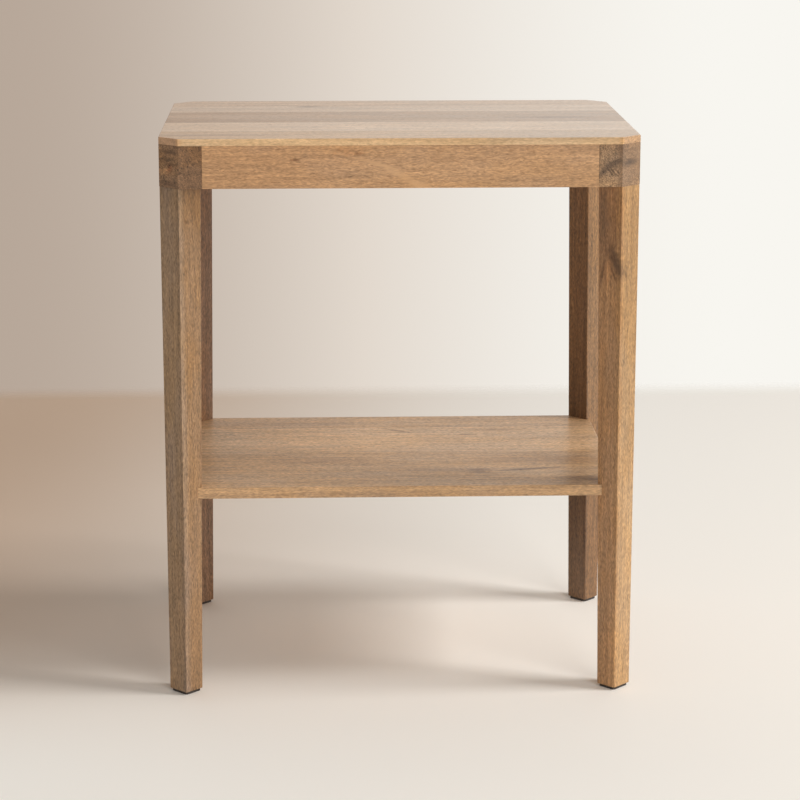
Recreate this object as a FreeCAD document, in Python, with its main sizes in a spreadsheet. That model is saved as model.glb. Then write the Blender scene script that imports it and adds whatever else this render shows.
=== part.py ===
import FreeCAD, Part
import itertools
import math
import os
import Sketcher

# End table with a low shelf, in millimetres: +Z up, front towards -Y, origin on the floor under the middle.
# A top of glued staves lies flush on an apron of four rails and four clipped corner blocks. A tapered
# leg, turned by 45 degrees, stands under each block, and a shelf of glued staves is let into the legs.

SIZES = {
    # whole table
    "table_width": 508,
    "table_depth": 356,
    "table_height": 610,
    # top and apron
    "top_thickness": 7.5,
    "rail_height": 45,
    "rail_thickness": 20,
    "block_width": 46,
    # legs: the width lies along the clipped corner, the depth along the table's diagonal
    "leg_top_width": 30,
    "leg_top_depth": 32,
    "leg_foot_width": 26.5,
    "leg_foot_depth": 24,
    # shelf, its height being that of its upper face
    "shelf_thickness": 12,
    "shelf_height": 230,
    "shelf_inset": 16,
    "dado_depth": 6,
    # bearers under the top, their inset being that of their middle line from the table's side
    "bearer_width": 30,
    "bearer_height": 20,
    "bearer_inset": 164,
    # dowels
    "frame_dowel_diameter": 8,
    "rail_dowel_length": 30,
    "leg_dowel_length": 36,
    "bearer_dowel_length": 24,
    "shelf_dowel_diameter": 6,
    "shelf_dowel_length": 28,
    "dowel_chamfer": 0.8,
    # screws that hold the top down on its bearers
    "screw_diameter": 3.5,
    "screw_head_diameter": 7,
    "screw_tip_length": 2,
    "screw_bite": 5,
    # glides under the feet, and their nails
    "glide_inset": 1.2,
    "glide_height": 3,
    "glide_corner_radius": 3,
    "glide_chamfer": 0.5,
    "nail_diameter": 2,
    "nail_head_diameter": 5,
    "nail_head_height": 1,
    "nail_recess": 0.6,
    "nail_tip_length": 3,
    "nail_bite": 13,
    # fits and cuts
    "hole_clearance": 0.1,
    "hole_end_room": 1,
    "dado_clearance": 0.2,
    "cut_overrun": 5,
    # eased edges: open ones, and those at the seams between pieces
    "edge_radius": 0.8,
    "seam_radius": 0.4,
}

# widths of the staves from front to back, as shares of the panel's depth
TOP_STAVE_SHARES = (0.185, 0.217, 0.281, 0.163, 0.154)
SHELF_STAVE_SHARES = (0.195, 0.265, 0.367, 0.173)
# heights of the dowels in a rail end, as shares of the rail's height
RAIL_DOWEL_SHARES = (0.28, 0.72)
# places of the dowels in a leg's top, as shares of its depth from the outer face
LEG_DOWEL_SHARES = (0.26, 0.76)
# places of the screws, one for each stave of the top, as shares of the bearer's length from its middle
SCREW_SHARES = (-0.4, -0.23, 0.05, 0.3, 0.415)

HALF_WIDTH = "(sizes.table_width / 2)"
HALF_DEPTH = "(sizes.table_depth / 2)"
APRON_TOP = "(sizes.table_height - sizes.top_thickness)"
APRON_FOOT = f"({APRON_TOP} - sizes.rail_height)"
BEARER_LENGTH = "(sizes.table_depth - 2 * sizes.rail_thickness)"
BEARER_FOOT = f"({APRON_TOP} - sizes.bearer_height)"
BEARER_X = f"({HALF_WIDTH} - sizes.bearer_inset)"

# the clipped corner is as long as the leg is wide, and its face lies half that length from the full corner
CORNER_CLIP = "(sizes.leg_top_width * sqrt(1 / 2))"
CORNER_FACE = "(sizes.leg_top_width / 2)"

# the leg's own frame: X from the outer face inwards, Z up from the wood's lower end
LEG_LENGTH = f"({APRON_FOOT} - sizes.glide_height)"
FOOT_MIDDLE = "(sizes.leg_foot_depth / 2)"
LEG_SLOPE = f"((sizes.leg_top_depth - sizes.leg_foot_depth) / {LEG_LENGTH})"
SHELF_FOOT = "(sizes.shelf_height - sizes.shelf_thickness)"
SHELF_MIDDLE = "(sizes.shelf_height - sizes.shelf_thickness / 2)"
SHELF_IN_LEG = f"({SHELF_MIDDLE} - sizes.glide_height)"
DADO_FLOOR = f"(sizes.leg_foot_depth + {LEG_SLOPE} * {SHELF_IN_LEG} - sizes.dado_depth)"

# the shelf's corners are clipped where they meet the floor of the dado
SHELF_HALF_WIDTH = f"({HALF_WIDTH} - sizes.shelf_inset)"
SHELF_HALF_DEPTH = f"({HALF_DEPTH} - sizes.shelf_inset)"
SHELF_CLIP = f"(({CORNER_FACE} + {DADO_FLOOR} + sizes.dado_clearance) * sqrt(2) - 2 * sizes.shelf_inset)"

FRAME_DOWEL = "sizes.frame_dowel_diameter"
FRAME_HOLE = f"({FRAME_DOWEL} + 2 * sizes.hole_clearance)"
SHELF_HOLE = "(sizes.shelf_dowel_diameter + 2 * sizes.hole_clearance)"
SCREW_HOLE = "(sizes.screw_diameter + 2 * sizes.hole_clearance)"
NAIL_HOLE = "(sizes.nail_diameter + 2 * sizes.hole_clearance)"

# sides of the table's middle that the corners are on, in X and in Y
CORNERS = {
    "front_left": (-1, -1),
    "front_right": (1, -1),
    "back_right": (1, 1),
    "back_left": (-1, 1),
}
SIDES = (-1, 1)
COUNTERSINK_ANGLE = 90
UP = FreeCAD.Vector(0, 0, 1)
DOWN = FreeCAD.Vector(0, 0, -1)
ALONG_X = FreeCAD.Vector(1, 0, 0)
ALONG_Y = FreeCAD.Vector(0, 1, 0)
# two places nearer than this are the same place
SAME_PLACE = 1e-4

doc = FreeCAD.newDocument("end_table")
sheet = doc.addObject("Spreadsheet::Sheet", "sizes")
for row, (size_name, size) in enumerate(SIZES.items(), start=1):
    sheet.set(f"A{row}", size_name)
    sheet.set(f"B{row}", str(size))
    sheet.setAlias(f"B{row}", size_name)
doc.recompute()

subparts = []


def value(expression):
    """Number that an expression on the sizes gives."""
    return float(sheet.evalExpression(expression))


def bind(thing, expressions):
    """Tie properties of an object to expressions on the sizes."""
    for prop, expression in expressions.items():
        thing.setExpression(prop, expression)


def place(thing, spot, x_along=(1, 0)):
    """Turn an object so that its own X runs along a level direction, and tie its place to expressions."""
    turn = math.degrees(math.atan2(x_along[1], x_along[0]))
    thing.Placement = FreeCAD.Placement(FreeCAD.Vector(), FreeCAD.Rotation(UP, turn))
    bind(thing, {f"Placement.Base.{axis}": where for axis, where in zip("xyz", spot)})


def from_corner(corner, inset_x, inset_y):
    """Place in from one of the table's full corners, as two expressions."""
    side, front_or_back = CORNERS[corner]
    return f"{side} * ({HALF_WIDTH} - {inset_x})", f"{front_or_back} * ({HALF_DEPTH} - {inset_y})"


def on_diagonal(corner, distance):
    """Place on the diagonal of one of the table's corners, at a distance in from the clipped face."""
    inset = f"(({CORNER_FACE} + {distance}) * sqrt(1 / 2))"
    return from_corner(corner, inset, inset)


def new_body(name, subpart=True):
    """Empty body, kept as a sub-part of the table unless it is only copied."""
    body = doc.addObject("PartDesign::Body", name)
    body.Label = name
    if subpart:
        subparts.append(body)
    return body


def origin_plane(body, role):
    return next(plane for plane in body.Origin.OriginFeatures if plane.Role == role)


def new_sketch(body, role="XY_Plane", spot=None, outward=None):
    """Sketch on one of the body's own planes, moved to a spot and turned to face outward if given."""
    sketch = body.newObject("Sketcher::SketchObject", f"{body.Name}_sketch")
    sketch.AttachmentSupport = [(origin_plane(body, role), "")]
    sketch.MapMode = "FlatFace"
    if outward is not None:
        sketch.AttachmentOffset = FreeCAD.Placement(FreeCAD.Vector(), FreeCAD.Rotation(UP, outward))
    if spot is not None:
        bind(sketch, {f"AttachmentOffset.Base.{axis}": where for axis, where in zip("xyz", spot)})
    return sketch


def hold_point(sketch, line, point, spot):
    """Hold a point of a sketch at the two expressions of its spot."""
    for kind, expression in zip(("DistanceX", "DistanceY"), spot):
        rule = Sketcher.Constraint(kind, -1, 1, line, point, value(expression))
        name = f"{kind}_{line}"
        sketch.renameConstraint(sketch.addConstraint(rule), name)
        sketch.setExpression(f"Constraints.{name}", expression)


def draw_outline(sketch, corners):
    """Closed outline through corners given as pairs of expressions."""
    spots = [FreeCAD.Vector(value(x), value(y), 0) for x, y in corners]
    for start, end in zip(spots, spots[1:] + spots[:1]):
        sketch.addGeometry(Part.LineSegment(start, end), False)
    for line in range(len(corners)):
        following = (line + 1) % len(corners)
        sketch.addConstraint(Sketcher.Constraint("Coincident", line, 2, following, 1))
    for line, corner in enumerate(corners):
        hold_point(sketch, line, 1, corner)


def draw_circles(sketch, centres, diameter):
    """Circles of one diameter, their centres given as pairs of expressions."""
    for number, (x, y) in enumerate(centres):
        middle = FreeCAD.Vector(value(x), value(y), 0)
        sketch.addGeometry(Part.Circle(middle, UP, value(diameter) / 2), False)
        hold_point(sketch, number, 3, (x, y))
        rule = Sketcher.Constraint("Diameter", number, value(diameter))
        name = f"Diameter_{number}"
        sketch.renameConstraint(sketch.addConstraint(rule), name)
        sketch.setExpression(f"Constraints.{name}", diameter)


def box_outline(low_x, high_x, low_y, high_y):
    return [(low_x, low_y), (high_x, low_y), (high_x, high_y), (low_x, high_y)]


def pad(body, sketch, length, side="One side"):
    feature = body.newObject("PartDesign::Pad", f"{body.Name}_pad")
    feature.Profile = sketch
    feature.SideType = side
    bind(feature, {"Length": length})
    doc.recompute()


def pocket(body, sketch, length, side="One side"):
    """Cut a sketch into the body, against the way the sketch faces, and make sure that it took wood away."""
    before = body.Shape.Volume
    feature = body.newObject("PartDesign::Pocket", f"{body.Name}_pocket")
    feature.Profile = sketch
    feature.SideType = side
    bind(feature, {"Length": length})
    doc.recompute()
    if not body.Shape.Volume < before:
        raise ValueError(f"a cut in {body.Label} removes nothing")


def drill(body, mouth, outward, diameter, depth):
    """Blind hole from its mouth on a face, against the face's outward direction."""
    sketch = new_sketch(body, spot=mouth, outward=outward)
    draw_circles(sketch, [("0", "0")], diameter)
    pocket(body, sketch, depth)


def through_holes(body, centres, diameter, cut, head_diameter):
    """Holes up through the body, opened at its underside to let in a head."""
    sketch = new_sketch(body)
    draw_circles(sketch, centres, diameter)
    doc.recompute()
    before = body.Shape.Volume
    holes = body.newObject("PartDesign::Hole", f"{body.Name}_holes")
    holes.Profile = sketch
    holes.Reversed = True
    holes.DepthType = "ThroughAll"
    holes.HoleCutType = cut
    bind(holes, {"Diameter": diameter, "HoleCutDiameter": f"{head_diameter} + 2 * sizes.hole_clearance"})
    doc.recompute()
    if not body.Shape.Volume < before:
        raise ValueError(f"the holes in {body.Label} remove nothing")
    return holes


def revolve(body, half_outline):
    """Turned piece: half of its outline, in X and Z, goes round the upright axis."""
    sketch = new_sketch(body, "XZ_Plane")
    draw_outline(sketch, half_outline)
    feature = body.newObject("PartDesign::Revolution", f"{body.Name}_turning")
    feature.Profile = sketch
    feature.ReferenceAxis = (sketch, ["V_Axis"])
    doc.recompute()


def dress_edges(body, kind, size, wanted):
    """Fillet or chamfer each edge of the body that is wanted."""
    base = body.Tip
    names = [f"Edge{number}" for number, edge in enumerate(base.Shape.Edges, start=1) if wanted(edge)]
    feature = body.newObject(f"PartDesign::{kind}", f"{body.Name}_edges")
    feature.Base = (base, names)
    bind(feature, {"Radius" if kind == "Fillet" else "Size": size})
    doc.recompute()


def middle_of(edge):
    return edge.valueAt((edge.FirstParameter + edge.LastParameter) / 2)


def is_level(edge):
    return edge.BoundBox.ZLength < SAME_PLACE


def same(place_a, place_b):
    return abs(place_a - place_b) < SAME_PLACE


def group(name, piece, spots):
    """Copies of one fastener in one sub-part; each spot has three expressions and the way the copy points."""
    copies = []
    for number, (spot, towards) in enumerate(spots, start=1):
        copy = doc.addObject("App::Link", f"{name}_{number}")
        copy.LinkedObject = piece
        copy.Placement = FreeCAD.Placement(FreeCAD.Vector(), FreeCAD.Rotation(UP, towards))
        bind(copy, {f"Placement.Base.{axis}": where for axis, where in zip("xyz", spot)})
        copies.append(copy)
    bunch = doc.addObject("Part::Compound", name)
    bunch.Label = name
    bunch.Links = copies
    subparts.append(bunch)


def stave_outline(half_width, front, back, clip, clip_front, clip_back):
    """Corners of one stave, from the front left one round by the right; a clipped corner is two."""
    left = f"-{half_width}"
    right = half_width
    front_corners = [(left, front), (right, front)]
    back_corners = [(right, back), (left, back)]
    if clip_front:
        front_corners = [
            (left, f"{front} + {clip}"),
            (f"{left} + {clip}", front),
            (f"{right} - {clip}", front),
            (right, f"{front} + {clip}"),
        ]
    if clip_back:
        back_corners = [
            (right, f"{back} - {clip}"),
            (f"{right} - {clip}", back),
            (f"{left} + {clip}", back),
            (left, f"{back} - {clip}"),
        ]
    return front_corners + back_corners


def panel_staves(name, half_width, half_depth, clip, shares, thickness, foot):
    """Boards glued edge to edge; the first and the last carry the panel's clipped corners."""
    joints = [round(joint, 6) for joint in itertools.accumulate(shares, initial=0)]
    staves = []
    for number, (start, end) in enumerate(zip(joints, joints[1:]), start=1):
        front = f"({half_depth} * {2 * start - 1})"
        back = f"({half_depth} * {2 * end - 1})"
        is_first = number == 1
        is_last = number == len(shares)
        glued = [value(joint) for joint, outer in ((front, is_first), (back, is_last)) if not outer]

        def is_open(edge, glued=glued):
            return not any(same(middle_of(edge).y, joint) for joint in glued)

        stave = new_body(f"{name}_stave_{number}")
        place(stave, ("0", "0", foot))
        sketch = new_sketch(stave)
        draw_outline(sketch, stave_outline(half_width, front, back, clip, is_first, is_last))
        pad(stave, sketch, thickness)
        if is_first or is_last:
            dress_edges(stave, "Fillet", "sizes.edge_radius", lambda e: not is_level(e) and is_open(e))
        dress_edges(
            stave, "Fillet", "sizes.edge_radius",
            lambda e: is_level(e) and is_open(e) and middle_of(e).z > value(thickness) / 2,
        )
        dress_edges(
            stave, "Fillet", "sizes.seam_radius",
            lambda e: is_level(e) and is_open(e) and middle_of(e).z < SAME_PLACE,
        )
        staves.append(stave)
    return staves


def make_top():
    staves = panel_staves(
        "top", HALF_WIDTH, HALF_DEPTH, CORNER_CLIP, TOP_STAVE_SHARES, "sizes.top_thickness", APRON_TOP
    )
    for stave, share in zip(staves, SCREW_SHARES):
        for side in SIDES:
            mouth = (f"{side} * {BEARER_X}", f"{BEARER_LENGTH} * {share}", "0")
            drill(stave, mouth, DOWN, SCREW_HOLE, "sizes.screw_bite + sizes.hole_clearance")


def make_shelf():
    staves = panel_staves(
        "shelf", SHELF_HALF_WIDTH, SHELF_HALF_DEPTH, SHELF_CLIP, SHELF_STAVE_SHARES,
        "sizes.shelf_thickness", SHELF_FOOT,
    )
    for stave, front_or_back in ((staves[0], -1), (staves[-1], 1)):
        for side in SIDES:
            mouth = (
                f"{side} * ({SHELF_HALF_WIDTH} - {SHELF_CLIP} / 2)",
                f"{front_or_back} * ({SHELF_HALF_DEPTH} - {SHELF_CLIP} / 2)",
                "sizes.shelf_thickness / 2",
            )
            outward = FreeCAD.Vector(side, front_or_back, 0)
            drill(stave, mouth, outward, SHELF_HOLE, "sizes.shelf_dowel_length / 2 + sizes.hole_end_room")


def make_rail(name, length, spot, x_along, carries_bearers):
    """Rail in its own frame: X along it, Y from the outer face inwards, Z up from its lower edge."""
    rail = new_body(name)
    place(rail, spot, x_along)
    sketch = new_sketch(rail)
    draw_outline(sketch, box_outline(f"-{length} / 2", f"{length} / 2", "0", "sizes.rail_thickness"))
    pad(rail, sketch, "sizes.rail_height")
    dress_edges(rail, "Fillet", "sizes.seam_radius", lambda edge: edge.BoundBox.YMax < SAME_PLACE)
    for side, share in itertools.product(SIDES, RAIL_DOWEL_SHARES):
        mouth = (f"{side} * {length} / 2", "sizes.rail_thickness / 2", f"sizes.rail_height * {share}")
        outward = FreeCAD.Vector(side, 0, 0)
        drill(rail, mouth, outward, FRAME_HOLE, "sizes.rail_dowel_length / 2 + sizes.hole_end_room")
    if carries_bearers:
        for side in SIDES:
            mouth = (
                f"{side} * {BEARER_X}",
                "sizes.rail_thickness",
                "sizes.rail_height - sizes.bearer_height / 2",
            )
            drill(rail, mouth, ALONG_Y, FRAME_HOLE, "sizes.bearer_dowel_length / 2 + sizes.hole_end_room")


def make_rails():
    long_length = "(sizes.table_width - 2 * sizes.block_width)"
    short_length = "(sizes.table_depth - 2 * sizes.block_width)"
    make_rail("front_rail", long_length, ("0", f"-{HALF_DEPTH}", APRON_FOOT), (1, 0), True)
    make_rail("right_rail", short_length, (HALF_WIDTH, "0", APRON_FOOT), (0, 1), False)
    make_rail("back_rail", long_length, ("0", HALF_DEPTH, APRON_FOOT), (-1, 0), True)
    make_rail("left_rail", short_length, (f"-{HALF_WIDTH}", "0", APRON_FOOT), (0, -1), False)


def make_corner_block(corner):
    """Block in its own frame: the table's full corner at the origin, the two outer faces along X and Y."""
    side, front_or_back = CORNERS[corner]
    block = new_body(f"corner_block_{corner}")
    # an eighth of a turn back from the direction that points to the table's middle
    x_along = (-side - front_or_back, side - front_or_back)
    place(block, (*from_corner(corner, "0", "0"), APRON_FOOT), x_along)
    width = value("sizes.block_width")
    sketch = new_sketch(block)
    draw_outline(sketch, [
        (CORNER_CLIP, "0"),
        ("sizes.block_width", "0"),
        ("sizes.block_width", "sizes.block_width"),
        ("0", "sizes.block_width"),
        ("0", CORNER_CLIP),
    ])
    pad(block, sketch, "sizes.rail_height")

    def is_clip_corner(edge):
        spot = middle_of(edge)
        return not is_level(edge) and same(spot.x + spot.y, value(CORNER_CLIP))

    def is_outer_seam(edge):
        spot = middle_of(edge)
        if is_level(edge):
            return not same(spot.x, width) and not same(spot.y, width)
        return same(max(spot.x, spot.y), width) and same(min(spot.x, spot.y), 0)

    dress_edges(block, "Fillet", "sizes.edge_radius", is_clip_corner)
    dress_edges(block, "Fillet", "sizes.seam_radius", is_outer_seam)
    rail_depth = "sizes.rail_dowel_length / 2 + sizes.hole_end_room"
    for share in RAIL_DOWEL_SHARES:
        height = f"sizes.rail_height * {share}"
        x_mouth = ("sizes.block_width", "sizes.rail_thickness / 2", height)
        y_mouth = ("sizes.rail_thickness / 2", "sizes.block_width", height)
        drill(block, x_mouth, ALONG_X, FRAME_HOLE, rail_depth)
        drill(block, y_mouth, ALONG_Y, FRAME_HOLE, rail_depth)
    leg_depth = "sizes.leg_dowel_length / 2 + sizes.hole_end_room"
    for share in LEG_DOWEL_SHARES:
        inset = f"(({CORNER_FACE} + sizes.leg_top_depth * {share}) * sqrt(1 / 2))"
        drill(block, (inset, inset, "0"), DOWN, FRAME_HOLE, leg_depth)


def make_leg(corner):
    """Tapered post: the outer face stays upright, and the other three draw in towards the foot."""
    side, front_or_back = CORNERS[corner]
    leg = new_body(f"leg_{corner}")
    place(leg, (*on_diagonal(corner, "0"), "sizes.glide_height"), (-side, -front_or_back))
    post = leg.newObject("PartDesign::AdditiveWedge", f"{leg.Name}_post")
    post.AttachmentSupport = [(origin_plane(leg, "XZ_Plane"), "")]
    post.MapMode = "FlatFace"
    bind(post, {
        "Xmin": "0",
        "X2min": "0",
        "Ymin": "0",
        "Xmax": "sizes.leg_foot_depth",
        "X2max": "sizes.leg_top_depth",
        "Ymax": LEG_LENGTH,
        "Zmin": "-sizes.leg_foot_width / 2",
        "Zmax": "sizes.leg_foot_width / 2",
        "Z2min": "-sizes.leg_top_width / 2",
        "Z2max": "sizes.leg_top_width / 2",
    })
    doc.recompute()
    length = value(LEG_LENGTH)
    dress_edges(leg, "Fillet", "sizes.edge_radius", lambda edge: not is_level(edge))
    dress_edges(leg, "Fillet", "sizes.edge_radius", lambda edge: edge.BoundBox.ZMax < SAME_PLACE)
    dress_edges(leg, "Fillet", "sizes.seam_radius", lambda edge: edge.BoundBox.ZMin > length - SAME_PLACE)

    dado = new_sketch(leg, "XZ_Plane")
    draw_outline(dado, box_outline(
        DADO_FLOOR,
        f"{DADO_FLOOR} + sizes.dado_depth + sizes.cut_overrun",
        f"{SHELF_FOOT} - sizes.glide_height",
        "sizes.shelf_height + sizes.dado_clearance - sizes.glide_height",
    ))
    pocket(leg, dado, "sizes.leg_top_width + 2 * sizes.cut_overrun", "Symmetric")
    for share in LEG_DOWEL_SHARES:
        mouth = (f"sizes.leg_top_depth * {share}", "0", LEG_LENGTH)
        drill(leg, mouth, UP, FRAME_HOLE, "sizes.leg_dowel_length / 2 + sizes.hole_end_room")
    shelf_mouth = (DADO_FLOOR, "0", SHELF_IN_LEG)
    drill(leg, shelf_mouth, ALONG_X, SHELF_HOLE, "sizes.shelf_dowel_length / 2 + sizes.hole_end_room")
    nail_mouth = (FOOT_MIDDLE, "0", "0")
    drill(leg, nail_mouth, DOWN, NAIL_HOLE, "sizes.nail_bite + sizes.hole_end_room")


def make_glide(corner):
    """Thin pad a little smaller than the foot above it, with a counterbored hole for its nail."""
    side, front_or_back = CORNERS[corner]
    glide = new_body(f"foot_glide_{corner}")
    place(glide, (*on_diagonal(corner, FOOT_MIDDLE), "0"), (-side, -front_or_back))
    half_depth = "(sizes.leg_foot_depth / 2 - sizes.glide_inset)"
    half_width = "(sizes.leg_foot_width / 2 - sizes.glide_inset)"
    sketch = new_sketch(glide)
    draw_outline(sketch, box_outline(f"-{half_depth}", half_depth, f"-{half_width}", half_width))
    pad(glide, sketch, "sizes.glide_height")
    dress_edges(glide, "Fillet", "sizes.glide_corner_radius", lambda edge: not is_level(edge))
    dress_edges(glide, "Chamfer", "sizes.glide_chamfer", lambda edge: edge.BoundBox.ZMax < SAME_PLACE)
    hole = through_holes(glide, [("0", "0")], NAIL_HOLE, "Counterbore", "sizes.nail_head_diameter")
    bind(hole, {"HoleCutDepth": "sizes.nail_head_height + sizes.nail_recess"})
    doc.recompute()


def make_bearer(name, side):
    """Batten from the front rail to the back rail, its upper face against the top."""
    bearer = new_body(name)
    place(bearer, (f"{side} * {BEARER_X}", "0", BEARER_FOOT))
    section = new_sketch(bearer, "XZ_Plane")
    draw_outline(section, box_outline(
        "-sizes.bearer_width / 2", "sizes.bearer_width / 2", "0", "sizes.bearer_height"
    ))
    pad(bearer, section, BEARER_LENGTH, "Symmetric")
    dress_edges(
        bearer, "Fillet", "sizes.edge_radius",
        lambda e: e.BoundBox.ZMax < SAME_PLACE and e.BoundBox.YLength > e.BoundBox.XLength,
    )
    for end in SIDES:
        mouth = ("0", f"{end} * {BEARER_LENGTH} / 2", "sizes.bearer_height / 2")
        outward = FreeCAD.Vector(0, end, 0)
        drill(bearer, mouth, outward, FRAME_HOLE, "sizes.bearer_dowel_length / 2 + sizes.hole_end_room")
    places = [("0", f"{BEARER_LENGTH} * {share}") for share in SCREW_SHARES]
    holes = through_holes(bearer, places, SCREW_HOLE, "Countersink", "sizes.screw_head_diameter")
    holes.HoleCutCountersinkAngle = COUNTERSINK_ANGLE
    doc.recompute()


def make_dowel(name, diameter, length):
    """Round pin about its own middle, with bevelled ends."""
    dowel = new_body(name, subpart=False)
    disc = new_sketch(dowel)
    draw_circles(disc, [("0", "0")], diameter)
    pad(dowel, disc, length, "Symmetric")
    dress_edges(dowel, "Chamfer", "sizes.dowel_chamfer", is_level)
    return dowel


def make_rail_dowels():
    """Two dowels across each seam between a rail and a corner block."""
    spots = []
    for corner, share in itertools.product(CORNERS, RAIL_DOWEL_SHARES):
        height = f"{APRON_FOOT} + sizes.rail_height * {share}"
        x_seam = from_corner(corner, "sizes.block_width", "sizes.rail_thickness / 2")
        y_seam = from_corner(corner, "sizes.rail_thickness / 2", "sizes.block_width")
        spots.append(((*x_seam, height), ALONG_X))
        spots.append(((*y_seam, height), ALONG_Y))
    group("rail_dowels", make_dowel("rail_dowel", FRAME_DOWEL, "sizes.rail_dowel_length"), spots)


def make_leg_dowels():
    """Two dowels across each seam between a leg and the corner block above it."""
    spots = []
    for corner, share in itertools.product(CORNERS, LEG_DOWEL_SHARES):
        spots.append(((*on_diagonal(corner, f"sizes.leg_top_depth * {share}"), APRON_FOOT), UP))
    group("leg_dowels", make_dowel("leg_dowel", FRAME_DOWEL, "sizes.leg_dowel_length"), spots)


def make_bearer_dowels():
    """One dowel at each end of a bearer."""
    spots = []
    for side, end in itertools.product(SIDES, SIDES):
        height = f"{APRON_TOP} - sizes.bearer_height / 2"
        spots.append(((f"{side} * {BEARER_X}", f"{end} * {BEARER_LENGTH} / 2", height), ALONG_Y))
    group("bearer_dowels", make_dowel("bearer_dowel", FRAME_DOWEL, "sizes.bearer_dowel_length"), spots)


def make_shelf_dowels():
    """One dowel through the floor of each dado, into the shelf's clipped corner."""
    spots = []
    for corner, (side, front_or_back) in CORNERS.items():
        towards = FreeCAD.Vector(side, front_or_back, 0)
        spots.append(((*on_diagonal(corner, DADO_FLOOR), SHELF_MIDDLE), towards))
    dowel = make_dowel("shelf_dowel", "sizes.shelf_dowel_diameter", "sizes.shelf_dowel_length")
    group("shelf_dowels", dowel, spots)


def make_screws():
    """Countersunk screws, heads flush with the undersides of the bearers."""
    screw = new_body("bearer_screw", subpart=False)
    length = "(sizes.bearer_height + sizes.screw_bite)"
    revolve(screw, [
        ("0", "0"),
        ("sizes.screw_head_diameter / 2", "0"),
        ("sizes.screw_diameter / 2", "(sizes.screw_head_diameter - sizes.screw_diameter) / 2"),
        ("sizes.screw_diameter / 2", f"{length} - sizes.screw_tip_length"),
        ("0", length),
    ])
    spots = []
    for side, share in itertools.product(SIDES, SCREW_SHARES):
        spot = (f"{side} * {BEARER_X}", f"{BEARER_LENGTH} * {share}", BEARER_FOOT)
        spots.append((spot, UP))
    group("bearer_screws", screw, spots)


def make_nails():
    """Nails up through the glides, heads sunk into their undersides."""
    nail = new_body("glide_nail", subpart=False)
    length = "(sizes.glide_height - sizes.nail_recess + sizes.nail_bite)"
    revolve(nail, [
        ("0", "0"),
        ("sizes.nail_head_diameter / 2", "0"),
        ("sizes.nail_head_diameter / 2", "sizes.nail_head_height"),
        ("sizes.nail_diameter / 2", "sizes.nail_head_height"),
        ("sizes.nail_diameter / 2", f"{length} - sizes.nail_tip_length"),
        ("0", length),
    ])
    spots = [((*on_diagonal(corner, FOOT_MIDDLE), "sizes.nail_recess"), UP) for corner in CORNERS]
    group("glide_nails", nail, spots)


def write_parts():
    """Stop at anything that failed, then write each sub-part to its own file."""
    doc.recompute()
    for thing in doc.Objects:
        if "Invalid" in thing.State or "Error" in thing.State:
            raise ValueError(f"{thing.Name} failed: {thing.State}")
    for part in subparts:
        if part.Shape.isNull() or not part.Shape.isValid():
            raise ValueError(f"{part.Label} has no sound shape")
    os.makedirs("parts", exist_ok=True)
    for part in subparts:
        part.Shape.exportStep(f"parts/{part.Label}.step")
        print(part.Label, len(part.Shape.Solids), round(part.Shape.Volume))


make_top()
make_rails()
for corner_name in CORNERS:
    make_corner_block(corner_name)
    make_leg(corner_name)
    make_glide(corner_name)
make_shelf()
make_bearer("top_bearer_left", -1)
make_bearer("top_bearer_right", 1)
make_rail_dowels()
make_leg_dowels()
make_bearer_dowels()
make_shelf_dowels()
make_screws()
make_nails()
write_parts()
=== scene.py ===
# %% [markdown]
# # End table with a low shelf
# The joinery is already drawn: the frame holds every stave, rail, leg, dowel and screw of the table at
# its real size, each as its own object. So this lesson is about finish. Every board gets a wood material
# of its own, because on a real table no two boards come from the same part of the tree. We load the frame
# first and keep its box, so that at the end we can show that nothing grew.

# %% Load the frame
import math

import bpy
from mathutils import Color, Euler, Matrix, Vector


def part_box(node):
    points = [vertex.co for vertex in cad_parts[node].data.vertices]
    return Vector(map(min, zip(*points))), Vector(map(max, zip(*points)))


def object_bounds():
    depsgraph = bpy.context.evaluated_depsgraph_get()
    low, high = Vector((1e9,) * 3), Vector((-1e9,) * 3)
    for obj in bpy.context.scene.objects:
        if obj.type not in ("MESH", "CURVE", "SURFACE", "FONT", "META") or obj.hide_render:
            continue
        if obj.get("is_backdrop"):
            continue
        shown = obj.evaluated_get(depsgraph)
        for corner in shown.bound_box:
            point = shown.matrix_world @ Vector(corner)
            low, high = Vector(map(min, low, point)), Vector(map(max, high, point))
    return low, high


MM = 1000
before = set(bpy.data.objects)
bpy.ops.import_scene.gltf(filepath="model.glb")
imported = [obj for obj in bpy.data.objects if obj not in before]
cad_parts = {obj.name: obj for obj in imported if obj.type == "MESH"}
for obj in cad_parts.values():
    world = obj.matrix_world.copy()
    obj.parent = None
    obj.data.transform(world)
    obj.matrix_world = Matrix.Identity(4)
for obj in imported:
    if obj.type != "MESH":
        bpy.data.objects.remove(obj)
cad_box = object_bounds()
table_low, table_high = cad_box
table_size = table_high - table_low
print("pieces:", len(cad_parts), "size in mm:", [round(MM * side) for side in table_size])

# %% [markdown]
# ## Colours
# We pick colours as screen levels from 0 to 255, but a shader counts in light, which is not the
# same scale. Typing the numbers straight into a socket gives washed out wood. A short helper turns one
# into the other, so that every colour below can be written the way it is seen.

# %% A colour as light
SCREEN_WHITE = 255


def tone(red, green, blue):
    """Light, with alpha, of a colour picked on a screen from 0 to 255."""
    picked = Color((red / SCREEN_WHITE, green / SCREEN_WHITE, blue / SCREEN_WHITE))
    return (*picked.from_srgb_to_scene_linear(), 1.0)


print("honey brown as light:", [round(level, 3) for level in tone(186, 144, 103)])

# %% [markdown]
# ## Short ways to add nodes
# A procedural material is a small graph. Each node takes three or four lines when it is made in code, and
# wood needs dozens of them, so we wrap the ones that we use most. A value given to a helper may be a
# plain number or another node's output: the helper sets the socket in the first case and draws a link in
# the second.

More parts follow.
